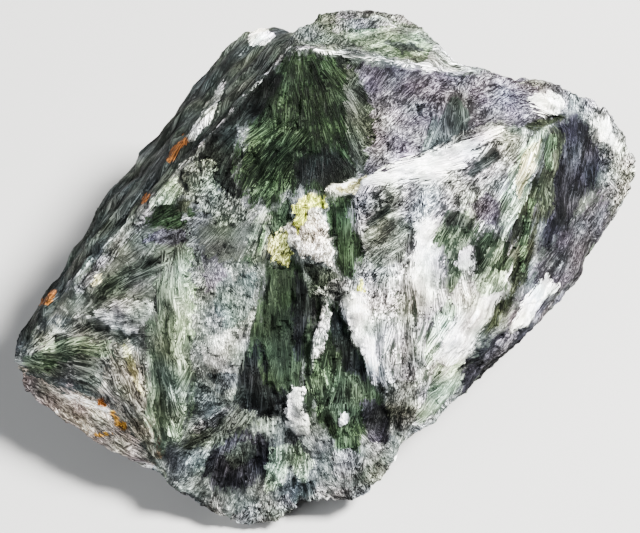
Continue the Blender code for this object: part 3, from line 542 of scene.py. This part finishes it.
def flakes_at(places, size, seed):
    """Heights of tilted flakes of about this size, from -1 to 1, with sharp edges between them."""
    heights = np.empty(len(places))
    for i, spot in enumerate(places / size + seed):
        centre = noise.voronoi(spot)[1][0]
        heights[i] = (Vector(spot) - centre).dot(noise.noise_vector(centre * FLAKE_STEP))
    return 2.0 * heights


def soft_step(x):
    """0 below 0, 1 above 1, and smooth between."""
    t = np.clip(x, 0.0, 1.0)
    return t * t * (3.0 - 2.0 * t)


def depth_inside(points, outline):
    """How far points lie inside an outline, in millimetres, and below zero outside it."""
    corners = np.array(outline, float)
    nearest = np.full(len(points), np.inf)
    inside = np.zeros(len(points), bool)
    x, y = points.T
    for start, end in zip(corners, np.roll(corners, -1, axis=0)):
        run = end - start
        along = np.clip((points - start) @ run / (run @ run), 0.0, 1.0)
        gap = np.linalg.norm(points - start - np.outer(along, run), axis=1)
        nearest = np.minimum(nearest, gap)
        if start[1] != end[1]:
            level = (start[1] > y) != (end[1] > y)
            inside ^= level & (x < run[0] * (y - start[1]) / run[1] + start[0])
    return np.where(inside, nearest, -nearest)


def laid_flat(places):
    """Where points lie in the layout of the broad face."""
    across, up, out = lean_back(places - FACE_MIDDLE).T
    nearness = VIEWING_DISTANCE / (VIEWING_DISTANCE - out)
    return np.stack([LAYOUT_MIDDLE[0] + across * nearness, LAYOUT_MIDDLE[1] - up * nearness], axis=1)


def round_a_focus(spots, focus, middle):
    """Across and along the fibres that run out of a focus, in millimetres at the patch's middle."""
    away = spots - focus
    reach = middle - focus
    turn = np.arctan2(away[:, 1], away[:, 0]) - np.arctan2(reach[..., 1], reach[..., 0])
    turn = (turn + math.pi) % (2.0 * math.pi) - math.pi
    return turn * np.maximum(np.linalg.norm(reach, axis=-1), 1.0), np.linalg.norm(away, axis=1)


places, normals = places_and_normals()
facing = lean_back(normals)[:, 2]
flat = laid_flat(places)
wandering = flat.copy()
ragged = np.zeros(len(places))
for seed, (size, reach) in enumerate(WANDERS):
    wandering[:, 0] += reach * noise_at(places, size, 21.0 + seed)
    wandering[:, 1] += reach * noise_at(places, size, 31.0 + seed)
    ragged += RAGGEDNESS * noise_at(places, size, 41.0 + seed)

# How much of each point belongs to the broad face and to the layered side.
toward_side = normals @ LAYER_SIDE
by_facing = soft_step((toward_side - facing - SIDE_LEAD + SIDE_WANDER * ragged) / SIDE_BLEND)
by_facing *= soft_step((toward_side - SIDE_FROM) / SIDE_BLEND)
by_place = soft_step(depth_inside(flat, SIDE_OUTLINE) / RIDGE_BLEND + 0.5 + RIDGE_WANDER * ragged)
in_sight = soft_step((facing - SIGHT_FROM) / SIGHT_BLEND)
side_share = by_facing + (by_place - by_facing) * in_sight
face_share = soft_step((facing - FACE_FROM + FACE_WANDER * ragged) / FACE_BLEND) * (1.0 - side_share)


def cover_of(patch, number):
    """How far a patch covers each point, from 0 to 1."""
    _, crumbs, _, focus, outline = patch
    corners = np.array(outline, float)
    following = np.roll(corners, -1, axis=0)
    area = abs(float(np.sum(corners[:, 0] * following[:, 1] - corners[:, 1] * following[:, 0]))) / 2.0
    width = 2.0 * area / float(np.sum(np.linalg.norm(following - corners, axis=1)))
    near = np.all((flat > corners.min(axis=0) - FRINGE) & (flat < corners.max(axis=0) + FRINGE), axis=1)
    across, along = round_a_focus(wandering[near], np.array(focus, float), corners.mean(axis=0))
    tips = np.stack([across / FINGER_SIZE[0], along / FINGER_SIZE[1], 0 * along + number], axis=1)
    depth = depth_inside(wandering[near], outline)
    depth += noise_at(tips, 1.0, 5.0) * min(LONGEST_FINGER, FINGER_SHARE * width) * (1.0 - crumbs)
    depth += ragged[near] * min(WIDEST_CRUMBLE, width) * crumbs
    blend = min(WIDEST_BLEND, SHORTEST_BLEND + BLEND_SHARE * width)
    cover = np.zeros(len(flat))
    cover[near] = np.clip(depth / blend + 0.5, 0.0, 1.0)
    return cover


# The ground and the layers lie under all the other patches, wherever their side of the lump is.
patches = [*FACE_PATCHES.values(), LAYERS, *SIDE_PATCHES.values()]
ground_index = 0
layer_index = len(FACE_PATCHES)
covers = []
for i, patch in enumerate(patches):
    if i == ground_index:
        covers.append(face_share)
    elif i < layer_index:
        covers.append(cover_of(patch, i) * face_share)
    elif i == layer_index:
        covers.append(side_share)
    else:
        covers.append(cover_of(patch, i) * side_share * in_sight)
covers = np.array(covers)

# Sprays in the round: each has a root, a direction and a tone, and owns what is nearest to it.
chance = np.random.default_rng(SPRAY_SEED)
centres = places[chance.integers(len(places), size=SPRAY_COUNT)]
directions = chance.normal(size=(SPRAY_COUNT, 3))
directions /= np.linalg.norm(directions, axis=1)[:, None]
roots = centres - directions * SPRAY_LENGTH
spray_tones = chance.integers(len(SPRAY_TONES), size=SPRAY_COUNT)
spray_crumbs = chance.choice(SPRAY_CRUMBS, size=SPRAY_COUNT)
shakes = np.stack([noise_at(places, SHAKE_SIZE, 51.0 + axis) for axis in range(3)], axis=1)
shaken = places + SPRAY_SHAKE * shakes
nearest = np.full(len(places), np.inf)
second = np.full(len(places), np.inf)
owner = np.zeros(len(places), int)
runner_up = np.zeros(len(places), int)
for i in range(SPRAY_COUNT):
    offset = shaken - centres[i]
    along = offset @ directions[i]
    aside = np.sqrt(np.maximum((offset * offset).sum(axis=1) - along * along, 0.0))
    distance = np.sqrt((along / SPRAY_LENGTH) ** 2 + (aside / SPRAY_WIDTH) ** 2)
    first = distance < nearest
    later = ~first & (distance < second)
    second = np.where(first, nearest, np.where(later, distance, second))
    runner_up = np.where(first, owner, np.where(later, i, runner_up))
    owner = np.where(first, i, owner)
    nearest = np.where(first, distance, nearest)

# Every triangle takes the topmost patch that covers it, and the one below shows at its edge.
mesh = lump.data
corner_points = np.empty(len(mesh.loops), np.int32)
mesh.loops.foreach_get("vertex_index", corner_points)
face_starts = np.empty(len(mesh.polygons), np.int32)
face_sizes = np.empty(len(mesh.polygons), np.int32)
mesh.polygons.foreach_get("loop_start", face_starts)
mesh.polygons.foreach_get("loop_total", face_sizes)
corner_faces = np.repeat(np.arange(len(face_starts)), face_sizes)
first_points = corner_points[face_starts]


def topmost(shares):
    """The highest patch that has a share in each place, and -1 where none has."""
    there = shares > LEAST_COVER
    return np.where(there.any(axis=0), len(patches) - 1 - np.argmax(there[::-1], axis=0), -1)


face_covers = np.zeros((len(patches), len(face_starts)))
for corner in range(3):
    face_covers = np.maximum(face_covers, covers[:, corner_points[face_starts + corner]])
over = topmost(face_covers)

patch_valleys = np.array([TONES[patch[0]][0] for patch in patches])
patch_crests = np.array([TONES[patch[0]][1] for patch in patches])
patch_crumbs = np.array([patch[1] for patch in patches])
patch_rises = np.array([patch[2] for patch in patches])
foci = np.array([patch[3] for patch in patches], float)
middles = np.array([np.mean(patch[4], axis=0) for patch in patches])
spray_valleys = np.array([TONES[SPRAY_TONES[i]][0] for i in spray_tones])
spray_crests = np.array([TONES[SPRAY_TONES[i]][1] for i in spray_tones])
sways = sum(reach * noise_at(places, size, 81.0 + i) for i, (reach, size) in enumerate(SWAYS))


def fibres(points, patch, spray):
    """Across and along the fibres of each place, in millimetres, and a number for its patch."""
    here = places[points]
    across, along = round_a_focus(flat[points], foci[patch], middles[patch])
    on_face = np.stack([across + sways[points], along, patch * PATCH_STEP], axis=1)
    over_layers = here @ np.cross(LAYER_SIDE, LAYER_RUN) + LAYER_SWAY * sways[points]
    on_side = np.stack([over_layers, here @ LAYER_RUN * LAYER_STRETCH, here @ LAYER_SIDE], axis=1)
    offset = here - roots[spray]
    length = np.maximum(np.linalg.norm(offset, axis=1), 0.01)
    ray = offset / length[:, None]
    aside = np.cross(directions[spray], NO_SPRAYS_WAY)
    aside /= np.linalg.norm(aside, axis=1)[:, None]
    upward = np.cross(directions[spray], aside)
    spread = SPRAY_LENGTH * np.stack([(ray * aside).sum(axis=1), (ray * upward).sum(axis=1)], axis=1)
    in_round = np.stack([spread[:, 0] + sways[points], length, spread[:, 1] + spray * SPRAY_STEP], axis=1)
    is_side = (patch >= layer_index)[:, None]
    is_round = (patch < 0)[:, None]
    return np.where(is_round, in_round, np.where(is_side, on_side, on_face))


def pick(patch_values, spray_values, patch, spray):
    """A value of the patch, or of the spray in the round where no patch lies."""
    is_round = patch < 0
    if patch_values.ndim > 1:
        is_round = is_round[:, None]
    return np.where(is_round, spray_values[spray], patch_values[np.maximum(patch, 0)])


# Blades: many small splinters lie along the fibres, a little lighter or darker than the rest.
# Each is a tapering leaf with one edge raised, and settles the ones that it lies on.
BLADE_COUNT = 5200
BLADE_LENGTHS, BLADE_WIDTHS = (0.8, 3.2), (0.22, 0.62)  # millimetres, half of the whole
BLADE_TURN = 0.11
BLADE_TAPER = 0.55
BLADE_LIFT, BLADE_SETTLING = 0.6, 0.75
BLADE_SHARPNESS = 2.2
SAME_SIDE = 0.3

# On crumbs they are shorter and turned more. On the layered side they are longer, narrower,
# straighter and fainter.
CRUMBLY = 0.6
CRUMB_BLADE_LENGTH, CRUMB_BLADE_TURN = 0.45, 4.0
LAYER_BLADE_LENGTH, LAYER_BLADE_WIDTH, LAYER_BLADE_TURN = 2.0, 0.7, 0.15
LAYER_BLADE_SHADE, LAYER_BLADE_COVER = 0.4, 0.5


def run_of_fibres(point, patch, spray):
    """Which way the fibres run at a point."""
    if patch < 0:
        run = places[point] - roots[spray]
    elif patch >= layer_index:
        run = LAYER_RUN
    else:
        right, down = flat[point] - foci[patch]
        run = np.array([right, -down * math.cos(FACE_LEAN), -down * math.sin(FACE_LEAN)])
    run = run - normals[point] * (run @ normals[point])
    return run / max(np.linalg.norm(run), 1e-6)


top = topmost(covers)
point_crumbs = pick(patch_crumbs, spray_crumbs, top, owner)
finder = KDTree(len(places))
for i, spot in enumerate(places):
    finder.insert(spot, i)
finder.balance()
blade_rise = np.zeros(len(places))
blade_shade = np.zeros(len(places))
blade_of = np.full(len(places), -1)
blade_frames = []
for point in chance.integers(len(places), size=BLADE_COUNT):
    length = chance.uniform(*BLADE_LENGTHS)
    width = chance.uniform(*BLADE_WIDTHS)
    turn = chance.normal() * BLADE_TURN
    darkness = chance.normal()
    on_layers = top[point] >= layer_index
    if point_crumbs[point] > CRUMBLY:
        length *= CRUMB_BLADE_LENGTH
        turn *= CRUMB_BLADE_TURN
    if on_layers:
        length *= LAYER_BLADE_LENGTH
        width *= LAYER_BLADE_WIDTH
        turn *= LAYER_BLADE_TURN
    run = run_of_fibres(point, top[point], owner[point])
    aside = np.cross(normals[point], run)
    run, aside = run * math.cos(turn) + aside * math.sin(turn), aside * math.cos(turn) - run * math.sin(turn)
    found = np.array([hit[1] for hit in finder.find_range(places[point], length)])
    offset = places[found] - places[point]
    along = (offset @ run) / length
    across = (offset @ aside) / (width * (1.0 - BLADE_TAPER * along))
    inside = np.clip(1.0 - along ** 2, 0.0, 1.0) * np.clip(1.0 - across ** 2, 0.0, 1.0)
    inside *= normals[found] @ normals[point] > SAME_SIDE
    cover = soft_step(inside * BLADE_SHARPNESS)
    blade_of[found[cover > 0.5]] = len(blade_frames)
    blade_frames.append((places[point], aside, run))
    if on_layers:
        darkness *= LAYER_BLADE_SHADE
        cover *= LAYER_BLADE_COVER
    slope = 0.5 + 0.5 * across * (abs(across) < 1.0)
    blade_shade[found] += (darkness - blade_shade[found]) * cover
    blade_rise[found] = blade_rise[found] * BLADE_SETTLING + BLADE_LIFT * slope * cover

# Relief: patches stand up by their rise, fibres are fine ribs and crumbs are small lumps. All
# is in millimetres, with sizes across and along the fibres where there are three.
SPLINTER_SIZE, SPLINTER_RISE = (0.95, 3.4, 1.0), 0.18
RIB_SIZE, RIB_RISE = (0.36, 2.6, 1.0), 0.11
BLADE_RISE = 0.26
FLAKE_SIZE, FLAKE_RISE, FLAKE_SEED = 1.05, 0.26, 23
GRAIN_SIZE, GRAIN_RISE = 0.6, 0.15
CREASE_SIZE, CREASE_RISE, CREASE_LEVEL = 2.1, 0.22, 0.35
CRUMBS_WITHOUT_RIBS, FIBRES_WITH_FLAKES = 0.75, 0.15
LAYER_SMOOTHNESS = 0.55
STILL_FOOT = 0.6

rise = np.zeros(len(places))
for patch_rise, cover in zip(patch_rises, covers):
    rise += (patch_rise - rise) * soft_step(cover)
point_fibres = fibres(np.arange(len(places)), top, owner)
noise.seed_set(FLAKE_SEED)
splinters = flakes_at(point_fibres / np.array(SPLINTER_SIZE), 1.0, 61.0)
ribs = noise_at(point_fibres / np.array(RIB_SIZE), 1.0, 62.0)
flakes = flakes_at(places, FLAKE_SIZE, 63.0)
grains = flakes_at(places, GRAIN_SIZE, 64.0)
creases = CREASE_LEVEL - np.abs(noise_at(places, CREASE_SIZE, 65.0))
silky_relief = splinters * SPLINTER_RISE + ribs * RIB_RISE
crumbly_relief = flakes * FLAKE_RISE + grains * GRAIN_RISE + creases * CREASE_RISE
detail = silky_relief * (1.0 - CRUMBS_WITHOUT_RIBS * point_crumbs) + blade_rise * BLADE_RISE
detail += crumbly_relief * (FIBRES_WITH_FLAKES + (1.0 - FIBRES_WITH_FLAKES) * point_crumbs)
relief = rise + detail * (1.0 - LAYER_SMOOTHNESS * side_share)
standing_clear = soft_step(places[:, 2] / STILL_FOOT)
moved = places + normals * (relief * standing_clear)[:, None]
mesh.vertices.foreach_set("co", (moved * MM).astype(np.float32).ravel())
mesh.update()

# Light and dark, in doublings: painted shade in the low places of the relief and painted light on
# its raised places and blade edges, a random tone for each blade, and random clouds of two sizes.
# Silkier patches have less light and shade between their splinters.
RELIEF_SHADE, BLADE_SHADE = 1.7, 0.75
CLOUD_SHADES = ((1.1, 6.0), (0.9, 2.2))
CALM_TONES = ("satin green", "smoke", "smoke green", "pale sage")
CALM_SHARE = 0.45
DARKEST_SHADE, LIGHTEST_SHADE = 0.2, 4.0

calm = np.isin(top, [i for i, patch in enumerate(patches) if patch[0] in CALM_TONES])
doublings = RELIEF_SHADE * (detail - detail.mean()) + BLADE_SHADE * blade_shade
doublings *= np.where(calm, CALM_SHARE, 1.0)
for seed, (strength, size) in enumerate(CLOUD_SHADES):
    doublings += strength * noise_at(places, size, 71.0 + seed)
shade = np.clip(2.0 ** doublings, DARKEST_SHADE, LIGHTEST_SHADE)

# What the stone's finish reads. Under its topmost patch, each corner has the others' blend.
corner_over = over[corner_faces]
corner_owner = owner[first_points][corner_faces]
corner_runner_up = runner_up[first_points][corner_faces]
patch_cover = covers[np.maximum(corner_over, 0), corner_points]
spray_cover = np.clip((second - nearest)[corner_points] * SPRAY_EDGE + 0.5, 0.0, 1.0)
lower_valley = spray_valleys[corner_runner_up]
lower_crest = spray_crests[corner_runner_up]
stack_valley = spray_valleys[owner]
stack_crest = spray_crests[owner]
for i, cover in enumerate(covers):
    chosen = corner_over == i
    lower_valley[chosen] = stack_valley[corner_points[chosen]]
    lower_crest[chosen] = stack_crest[corner_points[chosen]]
    stack_valley = stack_valley + (patch_valleys[i] - stack_valley) * cover[:, None]
    stack_crest = stack_crest + (patch_crests[i] - stack_crest) * cover[:, None]

# On a blade the fibres run with it, and the layers' blades are drawn out as the layers are.
corner_fibres = fibres(corner_points, corner_over, corner_owner)
corner_blade = blade_of[first_points][corner_faces]
in_blade = corner_blade >= 0
frames = np.array(blade_frames)[corner_blade[in_blade]]
offset = places[corner_points[in_blade]] - frames[:, 0]
stretch = np.where(corner_over[in_blade] >= layer_index, LAYER_STRETCH, 1.0)
blade_across = (offset * frames[:, 1]).sum(axis=1)
blade_along = (offset * frames[:, 2]).sum(axis=1) * stretch
in_frame = np.stack([blade_across, blade_along, np.zeros(len(stretch))], axis=1)
corner_fibres[in_blade] = in_frame + corner_blade[in_blade, None] * BLADE_STEP

# The stone turns a little warmer or greener from place to place, in red, green and blue.
WARM_SIZE, WARM_TINT = 3.3, np.array([0.13, 0.05, -0.20])
GREEN_SIZE, GREEN_TINT = 2.1, np.array([-0.12, 0.02, -0.10])
tint = 1.0 + noise_at(places, WARM_SIZE, 91.0)[corner_points, None] * WARM_TINT
tint += noise_at(places, GREEN_SIZE, 92.0)[corner_points, None] * GREEN_TINT


def keep_colour(name, colours):
    attribute = mesh.attributes.new(name, "FLOAT_COLOR", "CORNER")
    with_alpha = np.concatenate([colours, np.ones((len(colours), 1))], axis=1)
    attribute.data.foreach_set("color", with_alpha.astype(np.float32).ravel())


def keep_number(name, values):
    attribute = mesh.attributes.new(name, "FLOAT", "CORNER")
    attribute.data.foreach_set("value", values.astype(np.float32))


fibre_attribute = mesh.attributes.new("fibre", "FLOAT_VECTOR", "CORNER")
fibre_attribute.data.foreach_set("vector", corner_fibres.astype(np.float32).ravel())
keep_colour("valley", tint * pick(patch_valleys, spray_valleys, corner_over, corner_owner))
keep_colour("crest", tint * pick(patch_crests, spray_crests, corner_over, corner_owner))
keep_colour("lower valley", tint * lower_valley)
keep_colour("lower crest", tint * lower_crest)
keep_number("cover", np.where(corner_over < 0, spray_cover, patch_cover))
keep_number("shade", shade[corner_points])
keep_number("crumbs", pick(patch_crumbs, spray_crumbs, corner_over, corner_owner))

# Sizes of the grain that the finish shows, in millimetres across and along the fibres.
FIBRE_GRAIN = (0.085, 2.2, 1.0)
SHORT_FIBRE_GRAIN = (0.085, 0.50, 0.5)
STRAND_GRAIN = (0.42, 3.6, 1.0)
BLADE_GRAIN = (0.36, 2.0, 1.0)
FLAKE_GRAIN = (0.17, 0.42, 0.5)
GRIT_GRAIN, CLUMP_GRAIN, CREVICE_GRAIN, CLOUD_GRAIN = 0.21, 0.75, 1.2, 3.6
GRAIN_DEPTH = 0.20 * MM
CREVICE_WIDTH, CREVICE_SHADE = 0.02, 0.7
SHINE_CONTRAST = 2.8
TIP_REACH = 5.0
PALEST = (0.95, 0.95, 0.94)
DULL_ROUGHNESS, SILKY_ROUGHNESS = 0.62, 0.42
GLOSS = 0.02


def stone_finish():
    """Silky fibres and sparkling crumbs, in each patch's own two tones, with painted sheen and sparkle."""
    material = bpy.data.materials.new("seraphinite")
    material.use_nodes = True
    tree = material.node_tree
    surface = tree.nodes["Principled BSDF"]

    def node(kind, **settings):
        made = tree.nodes.new("ShaderNode" + kind)
        for name, value in settings.items():
            setattr(made, name, value)
        return made

    def join(source, target):
        tree.links.new(source, target)

    def attribute(name, output="Color"):
        return node("Attribute", attribute_name=name).outputs[output]

    def stretched(vector, size):
        mapping = node("Mapping", vector_type="POINT")
        mapping.inputs["Scale"].default_value = tuple(1.0 / s for s in size)
        join(vector, mapping.inputs["Vector"])
        return mapping.outputs["Vector"]

    def in_round(size):
        return stretched(place, (size * MM,) * 3)

    def noise_of(vector, detail, roughness, distortion=0.0):
        made = node("TexNoise")
        made.inputs["Scale"].default_value = 1.0
        made.inputs["Detail"].default_value = detail
        made.inputs["Roughness"].default_value = roughness
        made.inputs["Distortion"].default_value = distortion
        join(vector, made.inputs["Vector"])
        return made.outputs["Fac"]

    def random_cells(vector):
        made = node("TexVoronoi")
        made.inputs["Scale"].default_value = 1.0
        join(vector, made.inputs["Vector"])
        parts = node("SeparateColor")
        join(made.outputs["Color"], parts.inputs["Color"])
        return parts.outputs["Red"]

    def sums(operation, first, second):
        made = node("Math", operation=operation)
        for socket, value in zip(made.inputs, (first, second)):
            if isinstance(value, float):
                socket.default_value = value
            else:
                join(value, socket)
        return made.outputs["Value"]

    def weighed(*pairs):
        total = None
        for share, value in pairs:
            part = sums("MULTIPLY", value, share)
            total = part if total is None else sums("ADD", total, part)
        return total

    def ranged(value, low, high, to_low=0.0, to_high=1.0):
        made = node("MapRange", interpolation_type="SMOOTHSTEP")
        made.inputs["From Min"].default_value = low
        made.inputs["From Max"].default_value = high
        made.inputs["To Min"].default_value = to_low
        made.inputs["To Max"].default_value = to_high
        join(value, made.inputs["Value"])
        return made.outputs["Result"]

    def mixed(share, first, second, kind="RGBA"):
        made = node("Mix", data_type=kind)
        join(share, made.inputs["Factor"])
        join(first, made.inputs["A"])
        join(second, made.inputs["B"])
        return made.outputs["Result"]

    fibre = attribute("fibre", "Vector")
    place = node("TexCoord").outputs["Object"]
    crumbs = attribute("crumbs", "Fac")

    fine = ranged(noise_of(stretched(fibre, FIBRE_GRAIN), 2.0, 0.55), 0.36, 0.64)
    strands = ranged(noise_of(stretched(fibre, STRAND_GRAIN), 2.0, 0.5), 0.32, 0.68)
    blades = random_cells(stretched(fibre, BLADE_GRAIN))
    clouds = ranged(noise_of(in_round(CLOUD_GRAIN), 3.0, 0.5), 0.32, 0.68)
    silky = weighed((0.42, fine), (0.25, strands), (0.19, blades), (0.22, clouds))

    short = ranged(noise_of(stretched(fibre, SHORT_FIBRE_GRAIN), 1.0, 0.5), 0.40, 0.60)
    flakes = random_cells(stretched(fibre, FLAKE_GRAIN))
    grit = random_cells(in_round(GRIT_GRAIN))
    clumps = ranged(noise_of(in_round(CLUMP_GRAIN), 4.0, 0.62), 0.33, 0.67)
    crumbly = weighed((0.40, short), (0.22, flakes), (0.10, grit), (0.22, clumps), (0.14, clouds))
    # Painted shade: the crumbs are darkened along thin crevices between them.
    crevices = noise_of(in_round(CREVICE_GRAIN), 3.0, 0.6, 0.5)
    off_crevice = sums("ABSOLUTE", sums("SUBTRACT", crevices, 0.5), 0.0)
    crumbly = sums("MULTIPLY", crumbly, ranged(off_crevice, 0.0, CREVICE_WIDTH, CREVICE_SHADE, 1.0))

    # Painted sheen and shade: the pattern of fibres and crumbs takes each place between its valley and crest
    # tones, and also sets roughness and bumps.
    shine = ranged(mixed(crumbs, silky, crumbly, "FLOAT"), 0.16, 0.94)
    tone = sums("POWER", shine, SHINE_CONTRAST)

    # Fibre tips and crumbs of a patch reach over its edge.
    plain_cover = attribute("cover", "Fac")
    near_edge = sums("MULTIPLY", plain_cover, sums("SUBTRACT", 1.0, plain_cover))
    tips = mixed(crumbs, sums("SUBTRACT", fine, 0.5), sums("SUBTRACT", clumps, 0.5), "FLOAT")
    tips = sums("MULTIPLY", near_edge, sums("MULTIPLY", tips, TIP_REACH))
    cover = ranged(sums("ADD", plain_cover, tips), 0.38, 0.62)
    valley = mixed(cover, attribute("lower valley"), attribute("valley"))
    crest = mixed(cover, attribute("lower crest"), attribute("crest"))

    shaded = node("VectorMath", operation="SCALE")
    join(mixed(tone, valley, crest), shaded.inputs[0])
    join(attribute("shade", "Fac"), shaded.inputs["Scale"])
    limited = node("VectorMath", operation="MINIMUM")
    join(shaded.outputs["Vector"], limited.inputs[0])
    limited.inputs[1].default_value = PALEST
    join(limited.outputs["Vector"], surface.inputs["Base Color"])
    join(ranged(shine, 0.0, 1.0, DULL_ROUGHNESS, SILKY_ROUGHNESS), surface.inputs["Roughness"])
    bump = node("Bump")
    bump.inputs["Strength"].default_value = 1.0
    bump.inputs["Distance"].default_value = GRAIN_DEPTH
    join(shine, bump.inputs["Height"])
    join(bump.outputs["Normal"], surface.inputs["Normal"])
    surface.inputs["Specular IOR Level"].default_value = GLOSS
    surface.inputs["Metallic"].default_value = 0.0
    return material


SHARP_EDGE = math.radians(24)
mesh.materials.clear()
mesh.materials.append(stone_finish())
bpy.ops.object.shade_smooth_by_angle(angle=SHARP_EDGE)
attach(lump, "root")
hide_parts("stone")


# The table
# A plain, pale, matt table top, which isn't part of the stone. It is one wide sheet, and the
# lump stands on it with its flat spot.

TABLE_WIDTH = 3.0
TABLE_COLOUR = (0.205, 0.205, 0.202, 1.0)
TABLE_ROUGHNESS = 0.8

bpy.ops.object.select_all(action="DESELECT")
bpy.ops.mesh.primitive_plane_add(size=TABLE_WIDTH, location=(0, 0, 0))
table = bpy.context.object
table.name = "table"
table_finish = bpy.data.materials.new("table")
table_finish.use_nodes = True
table_surface = table_finish.node_tree.nodes["Principled BSDF"]
table_surface.inputs["Base Color"].default_value = TABLE_COLOUR
table_surface.inputs["Roughness"].default_value = TABLE_ROUGHNESS
table.data.materials.append(table_finish)


# Light and camera
# Soft light from the upper right, a weak fill from the left, and a camera that looks square
# onto the middle of the broad face.

CAMERA_HEIGHT = math.radians(90) - FACE_LEAN
CAMERA_LENS = 100.0
NEAREST_SEEN = 0.005
SKY_COLOUR = (0.80, 0.82, 0.85, 1.0)
SKY_STRENGTH = 0.30

aim = Vector(FACE_MIDDLE * MM)
toward_camera = Vector((0.0, -math.cos(CAMERA_HEIGHT), math.sin(CAMERA_HEIGHT)))
camera = bpy.data.objects.new("camera", bpy.data.cameras.new("camera"))
bpy.context.scene.collection.objects.link(camera)
camera.data.lens = CAMERA_LENS
camera.data.clip_start = NEAREST_SEEN
camera.location = aim + toward_camera * (VIEWING_DISTANCE * MM)
camera.rotation_euler = (math.radians(90) - CAMERA_HEIGHT, 0.0, 0.0)
bpy.context.scene.camera = camera


def soft_light(name, place, width, power, colour):
    light = bpy.data.objects.new(name, bpy.data.lights.new(name, "AREA"))
    light.data.size = width
    light.data.energy = power
    light.data.color = colour
    light.location = place
    light.rotation_euler = (aim - Vector(place)).to_track_quat("-Z", "Y").to_euler()
    bpy.context.scene.collection.objects.link(light)


soft_light("key", place=(0.31, 0.03, 0.44), width=0.13, power=49.0, colour=(1.0, 0.985, 0.96))
soft_light("fill", place=(-0.40, -0.30, 0.35), width=0.40, power=7.0, colour=(0.95, 0.97, 1.0))
sky = bpy.data.worlds.new("studio")
sky.use_nodes = True
sky.node_tree.nodes["Background"].inputs["Color"].default_value = SKY_COLOUR
sky.node_tree.nodes["Background"].inputs["Strength"].default_value = SKY_STRENGTH
bpy.context.scene.world = sky
